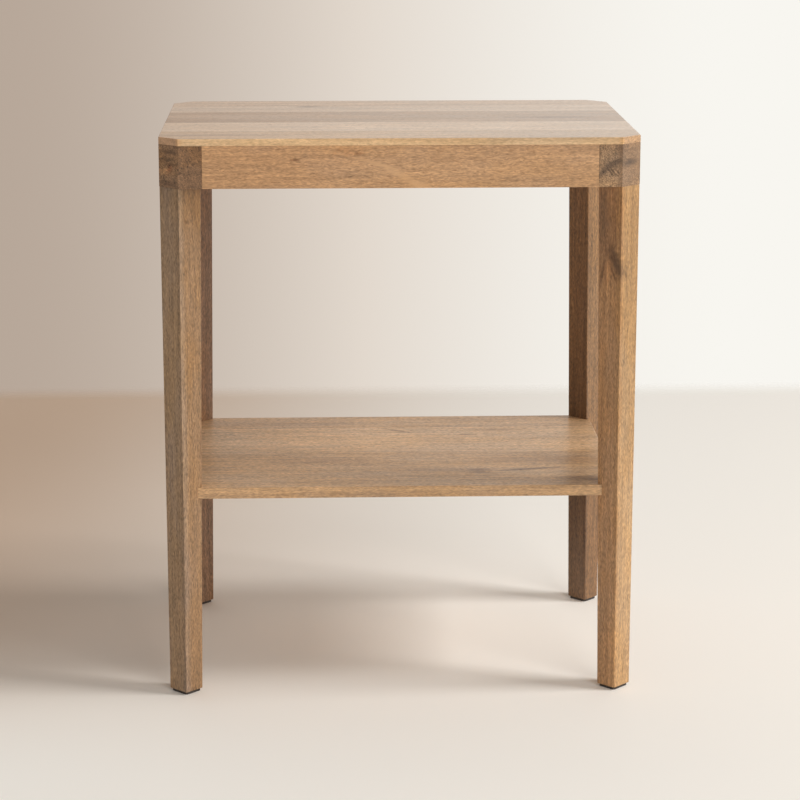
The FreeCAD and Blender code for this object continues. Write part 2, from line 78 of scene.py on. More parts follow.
# %% Node helpers
def feed(tree, socket, source):
    """Give a socket a plain value, or a link from another node's output."""
    if isinstance(source, bpy.types.NodeSocket):
        tree.links.new(source, socket)
    else:
        socket.default_value = source


def add_node(tree, kind, inputs=None, **settings):
    """New node with its settings and inputs."""
    node = tree.nodes.new(kind)
    for name, choice in settings.items():
        setattr(node, name, choice)
    for name, source in (inputs or {}).items():
        feed(tree, node.inputs[name], source)
    return node


def calc(tree, operation, *values):
    """Output of a Math node."""
    node = add_node(tree, "ShaderNodeMath", dict(enumerate(values)), operation=operation)
    return node.outputs["Value"]


def vector(tree, operation, *values, output="Vector"):
    """Output of a Vector Math node."""
    node = add_node(tree, "ShaderNodeVectorMath", dict(enumerate(values)), operation=operation)
    return node.outputs[output]


print("node helpers: feed, add_node, calc, vector")

# %% [markdown]
# Three more are for looks. One fades a value smoothly between two levels, one mixes two colours, and one
# multiplies a colour. Multiplying keeps the variation that the colour already has, as oil or a stain on
# wood does.

# %% Helpers that fade and mix
def fade(tree, value, start, end, low=0.0, high=1.0):
    """Smooth step of a value, from low at start to high at end."""
    limits = {"Value": value, "From Min": start, "From Max": end, "To Min": low, "To Max": high}
    return add_node(tree, "ShaderNodeMapRange", limits, interpolation_type="SMOOTHSTEP").outputs["Result"]


SHARE_IN, FIRST_COLOUR_IN, SECOND_COLOUR_IN = 0, 6, 7
COLOUR_OUT = 2


def blend(tree, share, first, second, how="MIX"):
    """Mix of two colours; the node has sockets for numbers too, so those for colours go by number."""
    inputs = {SHARE_IN: share, FIRST_COLOUR_IN: first, SECOND_COLOUR_IN: second}
    node = add_node(tree, "ShaderNodeMix", inputs, data_type="RGBA", blend_type=how)
    return node.outputs[COLOUR_OUT]


def times(tree, colour, shares):
    """The colour with its levels multiplied by these shares."""
    return blend(tree, 1.0, colour, shares, "MULTIPLY")


print("mixing helpers: fade, blend, times")

# %% [markdown]
# ## Noise with a size
# Nearly all the figure of wood is noise that is drawn out along the grain. A noise node counts in its own
# units, so our helper takes the length and width of a patch in metres. A soft noise has smooth patches,
# and a rough one has smaller patches in them. Its level swings about one half, which we often take away.

# %% Noise helpers
SOFT, PLAIN, ROUGH = 1.0, 2.0, 3.0
NOISE_MIDDLE = 0.5


def noise(tree, place, length, width, detail=PLAIN):
    """Noise whose patches are about this long along X and this wide across it, in metres."""
    stretched = vector(tree, "MULTIPLY", place, (1 / length, 1 / width, 1 / width))
    inputs = {"Vector": stretched, "Scale": 1.0, "Detail": detail}
    return add_node(tree, "ShaderNodeTexNoise", inputs).outputs


def about_zero(tree, level):
    """Level of a noise less its middle."""
    return calc(tree, "SUBTRACT", level, NOISE_MIDDLE)


print("noise helpers: noise, about_zero")

# %% [markdown]
# ## Node groups
# A node group is to a material what a function is to a script: built once, with named inputs and outputs,
# and placed wherever it is needed. All the boards of the table share one group for the figure of the
# wood, one for knots and stains and one for worn edges, so a better idea about wood improves the whole
# table at once.

# %% Group helpers
def new_group(name, inputs, outputs):
    """Empty shader group, with the sockets of its input and output nodes."""
    tree = bpy.data.node_groups.new(name, "ShaderNodeTree")
    for title, kind in inputs.items():
        tree.interface.new_socket(name=title, in_out="INPUT", socket_type=f"NodeSocket{kind}")
    for title, kind in outputs.items():
        tree.interface.new_socket(name=title, in_out="OUTPUT", socket_type=f"NodeSocket{kind}")
    return tree, tree.nodes.new("NodeGroupInput").outputs, tree.nodes.new("NodeGroupOutput").inputs


def place_group(tree, group, inputs):
    """Outputs of a group placed in a tree."""
    return add_node(tree, "ShaderNodeGroup", inputs, node_tree=group).outputs


print("group helpers: new_group, place_group")

# %% [markdown]
# ## Grain that wanders
# Wood is solid, so its pattern is worked out in space and not painted on faces: a saw cut then shows
# stripes on a long face and arcs on an end. We think of a place in the log, with X along the grain and
# the heart of the log at Y and Z zero. Trees don't grow straight, so slow noise first carries each place
# a little aside. A second, quicker wander gives the short waves of interlocked grain, which tilt the
# fibres left and right.

# %% Wander
SLOW_LENGTH, SLOW_WIDTH, SLOW_REACH = 0.42, 0.09, 0.020
WAVE_LENGTH, WAVE_WIDTH, WAVE_REACH = 0.024, 0.011, 0.0070


def wander(tree, place, length, width, reach):
    """The same place, carried up to about half the reach aside by noise of this length and width."""
    drift = noise(tree, place, length, width)["Color"]
    aside = vector(tree, "SUBTRACT", drift, (NOISE_MIDDLE, NOISE_MIDDLE, NOISE_MIDDLE))
    return vector(tree, "MULTIPLY_ADD", aside, (reach, reach, reach), place)


print("slow drift of", MM * SLOW_REACH, "mm, waves about", MM * WAVE_LENGTH, "mm long")

# %% [markdown]
# ## Growth bands
# A tree adds a layer of wood each season, so the distance from the heart tells which layer we are in.
# Regular rings look drawn, so the distance goes into a noise and not into a wave: layers then differ in
# width and in depth of colour.

# %% Growth bands
BAND_LENGTH = 0.60
BAND_DETAIL, BAND_ROUGHNESS = 4.0, 0.6
BAND_LOW, BAND_HIGH = 0.34, 0.66


def growth_bands(tree, place, width):
    """Mask of the darker layers of the wood, each about this wide."""
    axes = add_node(tree, "ShaderNodeSeparateXYZ", {0: place}).outputs
    across = add_node(tree, "ShaderNodeCombineXYZ", {"Y": axes["Y"], "Z": axes["Z"]}).outputs[0]
    layer = calc(tree, "DIVIDE", vector(tree, "LENGTH", across, output="Value"), width)
    along = calc(tree, "DIVIDE", axes["X"], BAND_LENGTH)
    spot = add_node(tree, "ShaderNodeCombineXYZ", {"X": along, "Y": layer}).outputs[0]
    bands = add_node(tree, "ShaderNodeTexNoise", {
        "Vector": spot, "Scale": 1.0, "Detail": BAND_DETAIL, "Roughness": BAND_ROUGHNESS,
    }).outputs[0]
    return fade(tree, bands, BAND_LOW, BAND_HIGH)


print("growth bands fade between noise levels", BAND_LOW, "and", BAND_HIGH)

# %% [markdown]
# ## Streaks, fibres, flecks and pores
# Up close this wood is busy but soft: long faint streaks, short flecks both lighter and darker, and open
# pores like tiny dark dashes. Each is the same noise at another size, drawn out along the grain. We keep
# every one weak, because it is their sum that looks like wood, and a single strong one looks like a
# print.

# %% Fine grain
STREAK_LENGTH, STREAK_WIDTH, STREAK_SHARE = 0.110, 0.0034, 0.60
FIBRE_LENGTH, FIBRE_WIDTH, FIBRE_SHARE = 0.030, 0.0013, 0.65
FLECK_LENGTH, FLECK_WIDTH, FLECK_SHARE = 0.0046, 0.0012, 0.95
PORE_LENGTH, PORE_WIDTH = 0.0060, 0.0013
PORE_LOW, PORE_HIGH = 0.57, 0.70


def fine_grain(tree, bent, waved):
    """Signed shade of the fine grain about zero, the fibres, and a mask of the pores."""
    streaks = noise(tree, bent, STREAK_LENGTH, STREAK_WIDTH, ROUGH)[0]
    fibres = noise(tree, waved, FIBRE_LENGTH, FIBRE_WIDTH)[0]
    flecks = noise(tree, waved, FLECK_LENGTH, FLECK_WIDTH, SOFT)[0]
    shade = calc(tree, "MULTIPLY", about_zero(tree, streaks), STREAK_SHARE)
    for layer, share in ((fibres, FIBRE_SHARE), (flecks, FLECK_SHARE)):
        shade = calc(tree, "MULTIPLY_ADD", about_zero(tree, layer), share, shade)
    pores = noise(tree, waved, PORE_LENGTH, PORE_WIDTH, SOFT)[0]
    return shade, fibres, fade(tree, pores, PORE_LOW, PORE_HIGH)


print("pores about", MM * PORE_LENGTH, "by", MM * PORE_WIDTH, "mm")

# %% [markdown]
# ## Shades of one wood
# A board has one colour that we remember, and lighter, darker and greyer wood beside it. We work these
# out as shares of the one colour, with the dark a little redder, so each board below needs a single
# colour choice.

# %% Shades of a wood
LIGHT_SHARES = (1.12, 1.13, 1.15, 1.0)
DARK_SHARES = (0.86, 0.83, 0.80, 1.0)
PORE_SHARES = (0.60, 0.54, 0.50, 1.0)
GREY_SATURATION = 0.76
GREY_VALUE = 0.88


def shades(tree, wood):
    """Light, dark, grey and pore colours of a wood."""
    light, dark, pore = (times(tree, wood, shares) for shares in (LIGHT_SHARES, DARK_SHARES, PORE_SHARES))
    grey = {"Color": wood, "Saturation": GREY_SATURATION, "Value": GREY_VALUE}
    return light, dark, add_node(tree, "ShaderNodeHueSaturation", grey).outputs["Color"], pore


print("dark wood is", DARK_SHARES[:3], "of the wood's own colour")

# %% [markdown]
# ## The figure of the wood
# Now the parts come together in one group. Bands choose between light and dark wood, slow patches pull it
# towards grey, the fine grain shades it and the pores prick it. Where a saw cut across the fibres we look
# into their open ends, which drink more oil, so end grain is darker and duller. Calm is for smooth
# ribbons in the wood, where the flecks are hardly seen.

# %% Wood figure group
PATCH_LENGTH, PATCH_WIDTH = 0.11, 0.035
PATCH_LOW, PATCH_HIGH = 0.40, 0.66
PORE_SHARE = 0.45
END_SHARES = (0.78, 0.75, 0.73, 1.0)
FIBRE_LOW, FIBRE_HIGH = 0.3, 0.7
DULL_LOW, DULL_HIGH = 0.40, 0.52
PORE_DULLNESS, END_DULLNESS = 0.15, 0.12
FIBRE_HEIGHT = 0.5
WOOD_INPUTS = {
    "Place": "Vector", "End Grain": "Float", "Calm": "Float", "Wood": "Color",
    "Band Width": "Float", "Band Share": "Float", "Grey Share": "Float", "Fine Share": "Float",
}
WOOD_OUTPUTS = {"Colour": "Color", "Roughness": "Float", "Height": "Float"}


def make_wood_figure():
    """Group that turns a place in the log into the colour, dullness and relief of its wood."""
    tree, given, made = new_group("wood_figure", WOOD_INPUTS, WOOD_OUTPUTS)
    light, dark, grey, pore = shades(tree, given["Wood"])
    bent = wander(tree, given["Place"], SLOW_LENGTH, SLOW_WIDTH, SLOW_REACH)
    waved = wander(tree, bent, WAVE_LENGTH, WAVE_WIDTH, WAVE_REACH)
    bands = growth_bands(tree, bent, given["Band Width"])
    patches = fade(tree, noise(tree, bent, PATCH_LENGTH, PATCH_WIDTH, ROUGH)[0], PATCH_LOW, PATCH_HIGH)
    shade, fibres, pores = fine_grain(tree, bent, waved)
    busy = calc(tree, "SUBTRACT", 1.0, given["Calm"])
    pricks = calc(tree, "MULTIPLY", calc(tree, "MULTIPLY", pores, PORE_SHARE), busy)

    colour = blend(tree, calc(tree, "MULTIPLY", bands, given["Band Share"]), light, dark)
    colour = blend(tree, calc(tree, "MULTIPLY", patches, given["Grey Share"]), colour, grey)
    fine_share = calc(tree, "MULTIPLY", busy, given["Fine Share"])
    colour = times(tree, colour, calc(tree, "MULTIPLY_ADD", shade, fine_share, 1.0))
    colour = blend(tree, pricks, colour, pore)
    colour = blend(tree, given["End Grain"], colour, times(tree, colour, END_SHARES))
    tree.links.new(colour, made["Colour"])

    dull = fade(tree, fibres, FIBRE_LOW, FIBRE_HIGH, DULL_LOW, DULL_HIGH)
    dull = calc(tree, "MULTIPLY_ADD", pores, PORE_DULLNESS, dull)
    dull = calc(tree, "MULTIPLY_ADD", given["End Grain"], END_DULLNESS, dull)
    tree.links.new(dull, made["Roughness"])
    height = calc(tree, "SUBTRACT", calc(tree, "MULTIPLY", fibres, FIBRE_HEIGHT), pricks)
    tree.links.new(height, made["Height"])
    return tree


wood_figure = make_wood_figure()
print("wood figure nodes:", len(wood_figure.nodes))

# %% [markdown]
# ## Knots, stains and ribbons
# The marks that we remember a board by sit at one spot. A mask finds them: the Mapping node moves the
# spot to the middle, turns it straight and divides by its reach, and what is left is a unit ball whose
# distance fades to nothing at 1. Noise on that distance makes the rim ragged.

# %% Soft mark group
RAG_SIZE = 0.006
MARK_RIM, MARK_CORE = 1.0, 0.15


def make_soft_mark():
    """Group for the mask of one spot, 1 in its middle and 0 past its reach."""
    tree, given, made = new_group("soft_mark", {
        "Place": "Vector", "Centre": "Vector", "Turn": "Vector", "Reach": "Vector", "Ragged": "Float",
    }, {"Mask": "Float"})
    spot = add_node(tree, "ShaderNodeMapping", {
        "Vector": given["Place"], "Location": given["Centre"], "Rotation": given["Turn"],
        "Scale": given["Reach"],
    }, vector_type="TEXTURE").outputs[0]
    away = vector(tree, "LENGTH", spot, output="Value")
    rag = about_zero(tree, noise(tree, given["Place"], RAG_SIZE, RAG_SIZE)[0])
    away = calc(tree, "MULTIPLY_ADD", rag, given["Ragged"], away)
    tree.links.new(fade(tree, away, MARK_RIM, MARK_CORE), made["Mask"])
    return tree


soft_mark = make_soft_mark()
print("soft mark nodes:", len(soft_mark.nodes))

# %% [markdown]
# ## Worn edges
# Hands, cloths and shoes rub the corners of furniture paler and smoother. The Bevel node gives the normal
# that a rounded edge would have, and where it turns away from the true normal there is an edge. Edges
# inside a glued joint are never rubbed, so the group is told the box of the joints and leaves it out.

# %% Worn edge group
WEAR_RADIUS = 0.0022
WEAR_SAMPLES = 4
WEAR_LOW, WEAR_HIGH = 0.995, 0.80


def make_worn_edges():
    """Group for the mask of rubbed edges outside the box of the joints."""
    tree, given, made = new_group("worn_edges", {
        "Place": "Vector", "Low": "Vector", "High": "Vector",
    }, {"Mask": "Float"})
    rounded = add_node(tree, "ShaderNodeBevel", {"Radius": WEAR_RADIUS}, samples=WEAR_SAMPLES).outputs[0]
    true = add_node(tree, "ShaderNodeNewGeometry").outputs["Normal"]
    edge = fade(tree, vector(tree, "DOT_PRODUCT", rounded, true, output="Value"), WEAR_LOW, WEAR_HIGH)
    held = vector(tree, "MINIMUM", vector(tree, "MAXIMUM", given["Place"], given["Low"]), given["High"])
    outside = vector(tree, "DISTANCE", held, given["Place"], output="Value")
    open_edge = calc(tree, "MULTIPLY", edge, calc(tree, "GREATER_THAN", outside, 0.0))
    tree.links.new(open_edge, made["Mask"])
    return tree


worn_edges = make_worn_edges()
print("worn edge nodes:", len(worn_edges.nodes))

# %% [markdown]
# ## A board's own material
# Each board takes its own place in the log: we say which way its grain runs and where its middle lay from
# the heart, and a Mapping node does the rest. The finish is a satin oil, a clear coat that is dull when
# we look straight at it and shines at a low angle. That is partly why the top and the shelf look paler than
# the rails; the top's own colours are also painted paler and greyer, as a painted sheen.

# %% Places on a board
QUARTER = math.pi / 2
GRAIN_TURNS = {"x": Euler((0, 0, 0)), "y": Euler((0, 0, -QUARTER)), "z": Euler((0, QUARTER, 0))}
GRAIN_AXES = {"x": (1, 0, 0), "y": (0, 1, 0), "z": (0, 0, 1)}
END_LOW, END_HIGH = 0.55, 0.95
MIDDLE = (0.5, 0.5, 0.5)


def spot_on(piece, shares):
    """Point of a piece's box at these shares of its sides."""
    low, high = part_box(piece)
    return Vector(start + share * (end - start) for start, end, share in zip(low, high, shares))


def place_in_log(tree, coords, piece, grain, log_place):
    """Place in the log, and the mask of the faces cut across the grain."""
    turn = GRAIN_TURNS[grain]
    shift = Vector(log_place) - turn.to_matrix() @ spot_on(piece, MIDDLE)
    mapping = {"Vector": coords["Object"], "Location": shift, "Rotation": turn}
    place = add_node(tree, "ShaderNodeMapping", mapping).outputs[0]
    facing = vector(tree, "DOT_PRODUCT", coords["Normal"], GRAIN_AXES[grain], output="Value")
    return place, fade(tree, calc(tree, "ABSOLUTE", facing), END_LOW, END_HIGH)


print("middle of the front rail:", [round(side, 3) for side in spot_on("front_rail", MIDDLE)])

# %% [markdown]
# A mark is a spot on a board and what it does there. Its middle is given in shares of the board's box,
# which is how we read it from a photograph, and its reach in metres. The tint multiplies the colour, so
# the grain still shows through, and calm hides the flecks.

# %% Marks on a board
def mark(at, reach, tint, turn=(0, 0, 0), ragged=0.0, calm=0.0):
    """Spot on a board: its middle in shares of the board's box, its reach in metres, and what it does."""
    return {"at": at, "reach": reach, "tint": tint, "turn": turn, "ragged": ragged, "calm": calm}


def find_marks(tree, place, piece, marks):
    """Mask of each mark, and how far the marks calm the flecks."""
    calm = 0.0
    masks = []
    for spot in marks:
        mask = place_group(tree, soft_mark, {
            "Place": place, "Centre": spot_on(piece, spot["at"]), "Turn": spot["turn"],
            "Reach": spot["reach"], "Ragged": spot["ragged"],
        })["Mask"]
        calm = calc(tree, "MULTIPLY_ADD", mask, spot["calm"], calm)
        masks.append(mask)
    return masks, calm


def stain(tree, colour, masks, marks):
    """The colour, tinted by each mark in turn."""
    for mask, spot in zip(masks, marks):
        colour = blend(tree, mask, colour, times(tree, colour, (*spot["tint"], 1.0)))
    return colour


print("mark helpers: mark, find_marks, stain")

# %% [markdown]
# Plastic, steel and paint start with the same steps as wood: a new material and its shader, a relief from
# a height, and a piece that wears the material. We write these steps once.

# %% Material helpers
def new_material(name):
    """New material, its node tree and its shader."""
    material = bpy.data.materials.new(name)
    material.use_nodes = True
    return material, material.node_tree, material.node_tree.nodes["Principled BSDF"]


def bump(tree, height, strength, distance):
    """Normal of a surface that a height raises by up to this distance."""
    relief = {"Height": height, "Strength": strength, "Distance": distance}
    return add_node(tree, "ShaderNodeBump", relief).outputs["Normal"]


def dress(piece, material):
    """Give a piece of the frame its material."""
    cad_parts[piece].material_slots[0].material = material


print("material helpers: new_material, bump, dress")

# %% [markdown]
# Now one function can dress any board. It finds the board's place in the log and its marks, takes the
# figure from the group, stains it, rubs the edges and hands the result to the shader. A board with no
# joint to leave out gets a box under the floor, where no edge is. Boards that were cut in a row lie at
# even steps in the log.

# %% Wood material
WEAR_SHARES = (1.22, 1.22, 1.22, 1.0)
WEAR_SHARE = 0.45
PORE_DEPTH = 0.00025
GRAIN_RELIEF = 0.35
OIL_ROUGHNESS = 0.22
UNDERGROUND = Vector((0, 0, -1))
NO_JOINT = (UNDERGROUND, UNDERGROUND)


def wood_material(piece, grain, log_place, wood, marks=(), joints=NO_JOINT, oil=0.3, band_width=0.014,
                  band_share=0.75, grey_share=0.4, fine_share=1.0):
    """Give a piece wood of its own; log_place is where its middle lay, from the heart of the log."""
    material, tree, shader = new_material(f"{piece}_wood")
    coords = add_node(tree, "ShaderNodeTexCoord").outputs
    place, end_grain = place_in_log(tree, coords, piece, grain, log_place)
    masks, calm = find_marks(tree, coords["Object"], piece, marks)
    figure = place_group(tree, wood_figure, {
        "Place": place, "End Grain": end_grain, "Calm": calm, "Wood": wood, "Band Width": band_width,
        "Band Share": band_share, "Grey Share": grey_share, "Fine Share": fine_share,
    })
    low, high = joints
    wear = place_group(tree, worn_edges, {"Place": coords["Object"], "Low": low, "High": high})["Mask"]
    colour = stain(tree, figure["Colour"], masks, marks)
    rubbed = times(tree, colour, WEAR_SHARES)
    colour = blend(tree, calc(tree, "MULTIPLY", wear, WEAR_SHARE), colour, rubbed)
    feed(tree, shader.inputs["Base Color"], colour)
    feed(tree, shader.inputs["Roughness"], figure["Roughness"])
    feed(tree, shader.inputs["Normal"], bump(tree, figure["Height"], GRAIN_RELIEF, PORE_DEPTH))
    feed(tree, shader.inputs["Coat Weight"], oil)
    feed(tree, shader.inputs["Coat Roughness"], OIL_ROUGHNESS)
    dress(piece, material)


def log_row(number, start, step):
    """Place in the log of one of the boards that were cut in a row."""
    return [first + number * further for first, further in zip(start, step)]


print("a satin oil has a coat roughness of", OIL_ROUGHNESS)

# %% [markdown]
# ## The top
# Five boards are glued edge to edge to make the top, and the eye finds them by their colour, because the
# glue lines themselves are too thin to see. The third board is the grey one and the second the palest.
# Their colours are partly painted sheen, paler and greyer than the oiled wood itself. The fourth has a
# small dark knot. The front edge and the clipped corners are lit and cut otherwise than the upper face, so
# they have flat marks of their own, turned to lie in their face; the one on the front edge turns it a
# lighter, more golden honey than the upper face.

# %% Marks on the top
EIGHTH = math.pi / 4
LEFT_FACE, RIGHT_FACE = (0, 0, -EIGHTH), (0, 0, EIGHTH)
TOP_CLIP_REACH = (0.06, 0.005, 0.02)
TOP_MARKS = {
    1: [mark(at=(0.5, 0.0, 0.3), reach=(2.0, 0.0030, 0.02), tint=(1.19, 1.155, 0.97), calm=0.35),
        mark(at=(0.02, 0.16, 0.5), reach=TOP_CLIP_REACH, turn=LEFT_FACE, tint=(1.065, 0.95, 0.86), calm=0.5),
        mark(at=(0.98, 0.16, 0.5), reach=TOP_CLIP_REACH, turn=RIGHT_FACE, tint=(0.855, 0.75, 0.60)),
        # Painted shade: the right end of the front board's upper face is darker.
        mark(at=(0.85, 0.5, 1.0), reach=(0.26, 0.09, 0.003), tint=(0.90, 0.90, 0.91)),
        mark(at=(0.10, 0.45, 1.0), reach=(0.14, 0.016, 0.003), tint=(0.80, 0.78, 0.79), ragged=0.8)],
    3: [mark(at=(0.86, 0.40, 1.0), reach=(0.080, 0.012, 0.02), tint=(0.62, 0.58, 0.58), ragged=0.9)],
    4: [mark(at=(0.308, 0.87, 1.0), reach=(0.022, 0.0060, 0.02), tint=(0.10, 0.09, 0.09), ragged=0.5),
        mark(at=(0.36, 0.84, 1.0), reach=(0.060, 0.0050, 0.02), tint=(0.70, 0.68, 0.68), ragged=0.6)],
}
print("top staves with marks:", list(TOP_MARKS))

# %% [markdown]
# Only the outline of the top is rubbed, so the joints' box is the top less its rim. The boards were cut
# in one row, so each lies a step further along the log and a step further across it than the one before.

# %% Top staves
RIM = 0.004
# Colours of the five boards, partly painted sheen: paler and greyer than the oiled wood.
TOP_WOODS_WITH_PAINTED_SHEEN = {
    1: tone(198, 165, 132), 2: tone(215, 186, 158), 3: tone(178, 147, 120), 4: tone(205, 178, 153),
    5: tone(198, 168, 141),
}
TOP_LOG, TOP_STEP = (0.0, -0.06, 0.10), (0.9, 0.035, 0.0)
top_inside = (Vector((table_low.x + RIM, table_low.y + RIM, table_low.z)),
              Vector((table_high.x - RIM, table_high.y - RIM, table_high.z)))
for number, wood in TOP_WOODS_WITH_PAINTED_SHEEN.items():
    wood_material(f"top_stave_{number}", "x", log_row(number, TOP_LOG, TOP_STEP), wood,
                  TOP_MARKS.get(number, ()), top_inside, oil=0.6, band_share=0.9, fine_share=1.3)
print("top staves:", len(TOP_WOODS_WITH_PAINTED_SHEEN))

# %% [markdown]
# ## The rails
# The rails are the plainest boards of the table and show the honey brown of the wood best. The front one
# has a smooth ribbon running down across it, where the fibres lie flat and hardly fleck, and a small dark
# dash. Their lower edges are rubbed, and above that they are glued to the top and the blocks.

# %% Rails
RAIL_WOOD = tone(186, 142, 98)
RAIL_LOG, RAIL_STEP = (11, 0.10, 0.07), (0.7, 0, 0)
HIGH_SLOPE, MIDDLE_SLOPE, LOW_SLOPE = math.radians(13), math.radians(16), math.radians(31)
FRONT_RAIL_MARKS = [
    mark(at=(0.33, 0.0, 0.83), reach=(0.036, 0.02, 0.0018), turn=(0, HIGH_SLOPE, 0),
         tint=(1.14, 1.14, 1.12), calm=0.6),
    mark(at=(0.43, 0.0, 0.60), reach=(0.032, 0.02, 0.0030), turn=(0, MIDDLE_SLOPE, 0),
         tint=(1.15, 1.15, 1.14), calm=0.9),
    mark(at=(0.51, 0.0, 0.26), reach=(0.036, 0.02, 0.0062), turn=(0, LOW_SLOPE, 0),
         tint=(1.13, 1.14, 1.14), calm=0.7),
    mark(at=(0.545, 0.0, 0.06), reach=(0.015, 0.02, 0.0075), tint=(1.10, 1.11, 1.12), calm=0.5),
    mark(at=(0.235, 0.0, 0.67), reach=(0.008, 0.02, 0.0022), tint=(0.52, 0.45, 0.40), ragged=0.8),
    mark(at=(0.397, 0.0, 0.82), reach=(0.007, 0.02, 0.0016), tint=(0.74, 0.66, 0.60), ragged=0.6),
    mark(at=(0.37, 0.0, 0.85), reach=(0.030, 0.02, 0.0070), tint=(0.94, 0.87, 0.80), ragged=1.4),
    mark(at=(0.12, 0.0, 0.5), reach=(0.16, 0.05, 0.1), tint=(0.93, 0.93, 0.97)),
    # Painted shade: the right end of the front rail is darker, where the lamps light it more.
    mark(at=(0.95, 0.0, 0.5), reach=(0.2, 0.05, 0.1), tint=(0.95, 0.97, 1.02)),
]
RAILS = {"front": ("x", FRONT_RAIL_MARKS), "back": ("x", ()), "left": ("y", ()), "right": ("y", ())}


def all_above(height):
    """Box of all that lies above this height."""
    return Vector((table_low.x, table_low.y, height)), table_high


rail_low, rail_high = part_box("front_rail")
above_rim = all_above(rail_low.z + RIM)
for number, (side, (grain, marks)) in enumerate(RAILS.items()):
    wood_material(f"{side}_rail", grain, log_row(number, RAIL_LOG, RAIL_STEP), RAIL_WOOD, marks, above_rim,
                  band_share=0.55, grey_share=0.3, fine_share=1.15)
print("rails:", len(RAILS), "of height in mm:", round(MM * (rail_high.z - rail_low.z)))

# %% [markdown]
# ## The corner blocks
# The rails end in four blocks whose grain runs from front to back, so their front faces are end grain,
# darker and speckled. The left one is brown, with streaks and a reddish spot on its clipped corner. The
# right one is greyer: a dark band rises across it and runs on over the corner, with short slanting
# strokes below.

# %% Marks on the front blocks
CLIP_REACH = (0.06, 0.006, 0.06)
LEFT_BLOCK_MARKS = [
    mark(at=(0.23, 0.23, 0.5), reach=CLIP_REACH, turn=LEFT_FACE, tint=(1.07, 1.11, 1.17)),
    mark(at=(0.15, 0.31, 0.36), reach=(0.016, 0.006, 0.0055), turn=LEFT_FACE, tint=(1.55, 1.48, 1.38)),
    mark(at=(0.26, 0.20, 0.84), reach=(0.018, 0.006, 0.0036), turn=LEFT_FACE, tint=(0.58, 0.56, 0.56)),
    mark(at=(0.22, 0.24, 0.66), reach=(0.020, 0.006, 0.0028), turn=LEFT_FACE, tint=(0.60, 0.60, 0.62)),
    mark(at=(0.30, 0.16, 0.55), reach=(0.014, 0.006, 0.0024), turn=LEFT_FACE, tint=(0.62, 0.58, 0.56)),
    mark(at=(0.20, 0.26, 0.10), reach=(0.022, 0.006, 0.0050), turn=LEFT_FACE, tint=(0.66, 0.62, 0.62)),
    mark(at=(0.25, 0.20, 0.45), reach=(0.006, 0.006, 0.006), tint=(0.95, 0.72, 0.62), ragged=1.2),
    mark(at=(1.0, 0.0, 1.0), reach=(0.012, 0.02, 0.012), tint=(0.72, 0.70, 0.70), ragged=0.8),
]
STROKE_REACH, STROKE_TURN = (0.0085, 0.02, 0.0016), (0, 0.9, 0)
STEEP_BAND, FLAT_BAND = (0, -0.80, 0), (0, -0.42, 0)
RIGHT_BLOCK_MARKS = [
    mark(at=(0.090, 0.0, 0.35), reach=(0.0110, 0.02, 0.0046), turn=STEEP_BAND, tint=(0.42, 0.41, 0.43)),
    mark(at=(0.250, 0.0, 0.37), reach=STROKE_REACH, turn=STROKE_TURN, tint=(0.42, 0.39, 0.38)),
    mark(at=(0.330, 0.0, 0.36), reach=STROKE_REACH, turn=STROKE_TURN, tint=(0.42, 0.39, 0.38)),
    mark(at=(0.410, 0.0, 0.38), reach=STROKE_REACH, turn=STROKE_TURN, tint=(0.46, 0.42, 0.41)),
    mark(at=(0.32, 0.0, 0.55), reach=(0.018, 0.02, 0.0060), turn=FLAT_BAND, tint=(0.44, 0.43, 0.45),
         ragged=0.5),
    mark(at=(0.50, 0.0, 0.92), reach=(0.012, 0.02, 0.009), tint=(0.72, 0.68, 0.66), ragged=0.6),
    mark(at=(0.25, 0.0, 0.06), reach=(0.016, 0.02, 0.009), tint=(1.12, 1.10, 1.06)),
    mark(at=(0.77, 0.23, 0.5), reach=CLIP_REACH, turn=RIGHT_FACE, tint=(0.70, 0.65, 0.61), calm=0.4),
    mark(at=(0.68, 0.14, 0.56), reach=(0.013, 0.008, 0.0065), turn=RIGHT_FACE, tint=(0.50, 0.51, 0.55),
         ragged=0.4),
    mark(at=(0.84, 0.30, 0.57), reach=(0.012, 0.008, 0.006), turn=RIGHT_FACE, tint=(0.66, 0.66, 0.69),
         ragged=0.6),
]
print("marks on the front blocks:", len(LEFT_BLOCK_MARKS), "left and", len(RIGHT_BLOCK_MARKS), "right")

# %% [markdown]
# A block is small, so narrower bands suit it, and the flecks of its end grain are stronger than those of
# the long boards. The blocks at the back have no marks of their own.

# %% Corner blocks
BLOCKS = {
    "front_left": {
        "wood": tone(143, 106, 70), "log_place": (20.0, 0.050, 0.040), "marks": LEFT_BLOCK_MARKS,
    },
    "front_right": {
        "wood": tone(168, 135, 100), "log_place": (20.5, 0.020, 0.034), "marks": RIGHT_BLOCK_MARKS,
    },
    "back_right": {"wood": tone(156, 117, 82), "log_place": (21.0, 0.060, 0.030)},
    "back_left": {"wood": tone(162, 124, 88), "log_place": (21.5, 0.040, 0.050)},
}
for corner, look in BLOCKS.items():
    wood_material(f"corner_block_{corner}", "y", joints=above_rim, band_width=0.010, fine_share=2.2, **look)
print("corner blocks:", len(BLOCKS))
